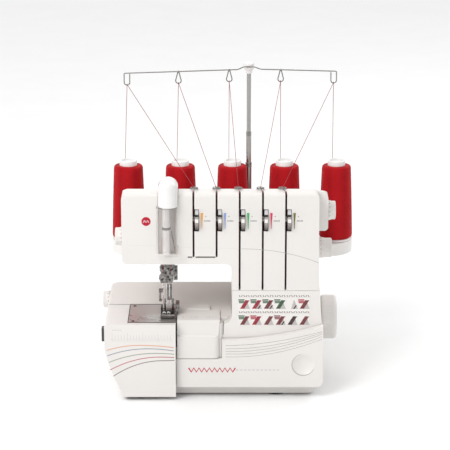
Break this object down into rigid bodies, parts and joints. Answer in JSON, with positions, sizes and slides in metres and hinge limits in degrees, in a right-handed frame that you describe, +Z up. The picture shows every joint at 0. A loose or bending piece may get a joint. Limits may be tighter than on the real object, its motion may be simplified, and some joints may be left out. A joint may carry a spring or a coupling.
{
  "type": "serger overlock machine",
  "caption": "Household overlock machine with free arm bed, swinging cloth plate, tilting looper cover, cone stand and telescopic thread guide.",
  "frame": {"origin": "on the floor under the middle of the machine's overall box", "axes": "+X right, +Y to the back, +Z up; the needle side faces -Y"},
  "size_m": [0.416, 0.334, 0.485],
  "materials": {
    "body_white": "satin moulded",
    "cap_white": "gloss",
    "stand_grey": "satin",
    "wheel_beige": "satin",
    "smoked": "clear tinted",
    "black_plastic": "satin",
    "foot_rubber": "matte",
    "plate_steel": "brushed",
    "bright_steel": "polished",
    "frame_alloy": "cast",
    "red_thread": "spun",
    "chart_print": "printed film",
    "dial_wheel": "satin",
    "motor_black": "satin",
    "screw_black": "black oxide"
  },
  "bodies": {
    "machine": {"base_tray": "body_white", "rubber_feet": "foot_rubber", "chassis_frame": "frame_alloy", "bed_casing": "body_white", "front_cover": "body_white", "lower_front_panel": "body_white", "rear_casing": "body_white", "needle_plate": "plate_steel", "stitch_chart": "chart_print", "take_up_cover": "cap_white", "smoked_guard": "smoked", "slot_liners": "black_plastic", "tension_discs": "bright_steel", "thread_clips": "bright_steel", "spool_stand": "stand_grey", "spool_pins": "bright_steel", "spool_seats": "cap_white", "cone_cores": "cap_white", "thread_windings": "red_thread", "pole_lower": "bright_steel", "drive_motor": "motor_black", "drive_belt": "foot_rubber", "power_inlet": "black_plastic", "lower_knife": "plate_steel", "casing_screws": "bright_steel", "threads": "red_thread"},
    "cloth_plate": {"cloth_plate": "body_white"},
    "plate_latch": {"cloth_plate_latch": "black_plastic"},
    "cover_carrier": {"cover_hinge_rod": "bright_steel"},
    "looper_cover": {"looper_cover": "body_white"},
    "table": {"extension_table": "body_white"},
    "tension_1": {"tension_dial_1": "dial_wheel"},
    "tension_2": {"tension_dial_2": "dial_wheel"},
    "tension_3": {"tension_dial_3": "dial_wheel"},
    "tension_4": {"tension_dial_4": "dial_wheel"},
    "tension_5": {"tension_dial_5": "dial_wheel"},
    "handwheel": {"handwheel": "wheel_beige", "main_shaft": "bright_steel"},
    "motor_rotor": {"motor_pulley": "bright_steel"},
    "needle_drive": {"needle_bar": "bright_steel", "needle_clamp": "bright_steel", "needles": "bright_steel", "clamp_screws": "screw_black"},
    "presser": {"presser_bar": "bright_steel"},
    "foot": {"presser_foot": "plate_steel"},
    "lifter": {"presser_lever": "bright_steel"},
    "knife": {"upper_knife": "motor_black"},
    "looper_upper": {"upper_looper": "bright_steel"},
    "looper_lower": {"lower_looper": "bright_steel"},
    "looper_chain": {"chain_looper": "bright_steel"},
    "feed": {"feed_dogs": "plate_steel"},
    "length_dial": {"stitch_length_dial": "cap_white"},
    "feed_dial": {"differential_dial": "cap_white"},
    "foot_dial": {"pressure_dial": "cap_white"},
    "width_dial": {"cutting_width_dial": "cap_white"},
    "rocker": {"power_switch": "black_plastic"},
    "pole_mid": {"pole_middle": "bright_steel"},
    "pole_top": {"pole_upper": "bright_steel", "guide_head": "cap_white", "guide_bar": "bright_steel"}
  },
  "joints": [
    {"name": "handwheel_turn", "type": "hinge", "parent": "machine", "child": "handwheel", "pos_m": [0.15, -0.03, 0.094], "axis": [1, 0, 0], "continuous": true},
    {"name": "motor_turn", "type": "hinge", "parent": "machine", "child": "motor_rotor", "pos_m": [0.121, 0.008, 0.058], "axis": [1, 0, 0], "continuous": true},
    {"name": "needle_bar_stroke", "type": "slide", "parent": "machine", "child": "needle_drive", "axis": [0, 0, 1], "range_m": [-0.027, 0]},
    {"name": "presser_lever_lift", "type": "hinge", "parent": "machine", "child": "lifter", "pos_m": [-0.0775, -0.07, 0.234], "axis": [1, 0, 0], "range_deg": [0, 60]},
    {"name": "presser_bar_lift", "type": "slide", "parent": "machine", "child": "presser", "axis": [0, 0, 1], "range_m": [0, 0.006]},
    {"name": "presser_foot_tilt", "type": "hinge", "parent": "presser", "child": "foot", "pos_m": [-0.096, -0.108, 0.146], "axis": [-1, 0, 0], "range_deg": [-2, 8]},
    {"name": "upper_knife_stroke", "type": "hinge", "parent": "machine", "child": "knife", "pos_m": [-0.0838, -0.05, 0.105], "axis": [-1, 0, 0], "range_deg": [0, 6]},
    {"name": "upper_looper_swing", "type": "hinge", "parent": "machine", "child": "looper_upper", "pos_m": [-0.061, -0.107, 0.07], "axis": [0, 1, 0], "range_deg": [-12, 12]},
    {"name": "lower_looper_swing", "type": "hinge", "parent": "machine", "child": "looper_lower", "pos_m": [-0.13, -0.117, 0.062], "axis": [0, 1, 0], "range_deg": [-12, 12]},
    {"name": "chain_looper_swing", "type": "hinge", "parent": "machine", "child": "looper_chain", "pos_m": [-0.15, -0.112, 0.058], "axis": [1, 0, 0], "range_deg": [-12, 12]},
    {"name": "feed_dog_stroke", "type": "slide", "parent": "machine", "child": "feed", "axis": [0, 1, 0], "range_m": [-0.0025, 0.0025]},
    {"name": "looper_cover_slide", "type": "slide", "parent": "machine", "child": "cover_carrier", "axis": [1, 0, 0], "range_m": [0, 0.008]},
    {"name": "looper_cover_tilt", "type": "hinge", "parent": "cover_carrier", "child": "looper_cover", "pos_m": [0.03, -0.1495, 0.0245], "axis": [1, 0, 0], "range_deg": [0, 85]},
    {"name": "extension_table_pull", "type": "slide", "parent": "machine", "child": "table", "axis": [0, -1, 0], "range_m": [0, 0.05]},
    {"name": "cloth_plate_swing", "type": "hinge", "parent": "machine", "child": "cloth_plate", "pos_m": [-0.1935, -0.0665, 0.1], "axis": [0, 0, -1], "range_deg": [0, 100]},
    {"name": "cloth_plate_latch_press", "type": "slide", "parent": "cloth_plate", "child": "plate_latch", "axis": [0, 0, -1], "range_m": [0, 0.004], "stiffness_N_per_m": 400, "springref_m": -0.002},
    {"name": "tension_dial_1_turn", "type": "hinge", "parent": "machine", "child": "tension_1", "pos_m": [-0.0508, -0.1375, 0.2905], "axis": [1, 0, 0], "range_deg": [-140, 140]},
    {"name": "tension_dial_2_turn", "type": "hinge", "parent": "machine", "child": "tension_2", "pos_m": [-0.01485, -0.1375, 0.2905], "axis": [1, 0, 0], "range_deg": [-140, 140]},
    {"name": "tension_dial_3_turn", "type": "hinge", "parent": "machine", "child": "tension_3", "pos_m": [0.0211, -0.1375, 0.2905], "axis": [1, 0, 0], "range_deg": [-140, 140]},
    {"name": "tension_dial_4_turn", "type": "hinge", "parent": "machine", "child": "tension_4", "pos_m": [0.05705, -0.1375, 0.2905], "axis": [1, 0, 0], "range_deg": [-140, 140]},
    {"name": "tension_dial_5_turn", "type": "hinge", "parent": "machine", "child": "tension_5", "pos_m": [0.093, -0.1375, 0.2905], "axis": [1, 0, 0], "range_deg": [-140, 140]},
    {"name": "stitch_length_dial_turn", "type": "hinge", "parent": "machine", "child": "length_dial", "pos_m": [0.152, -0.07, 0.2238], "axis": [1, 0, 0], "range_deg": [-130, 130]},
    {"name": "differential_dial_turn", "type": "hinge", "parent": "machine", "child": "feed_dial", "pos_m": [0.161, -0.087, 0.2906], "axis": [1, 0, 0], "range_deg": [-130, 130]},
    {"name": "pressure_dial_turn", "type": "hinge", "parent": "machine", "child": "foot_dial", "pos_m": [-0.174, -0.09, 0.2484], "axis": [1, 0, 0], "range_deg": [-150, 150]},
    {"name": "cutting_width_dial_turn", "type": "hinge", "parent": "machine", "child": "width_dial", "pos_m": [-0.202, 0.012, 0.11], "axis": [1, 0, 0], "range_deg": [-130, 130]},
    {"name": "power_rocker", "type": "hinge", "parent": "machine", "child": "rocker", "pos_m": [0.138, -0.1, 0.049], "axis": [0, 0, 1], "range_deg": [0, 12]},
    {"name": "guide_pole_slide", "type": "slide", "parent": "machine", "child": "pole_top", "axis": [0, 0, 1], "range_m": [-0.115, 0], "deforming": ["threads"]},
    {"name": "guide_pole_middle_slide", "type": "slide", "parent": "machine", "child": "pole_mid", "axis": [0, 0, 1], "range_m": [-0.0575, 0]}
  ],
  "couplings": [
    {"joint": "motor_turn", "follows": "handwheel_turn", "ratio": 2.93},
    {"joint": "presser_bar_lift", "follows": "presser_lever_lift", "m_per_rad": 0.00572},
    {"joint": "guide_pole_middle_slide", "follows": "guide_pole_slide", "ratio": 0.5}
  ]
}
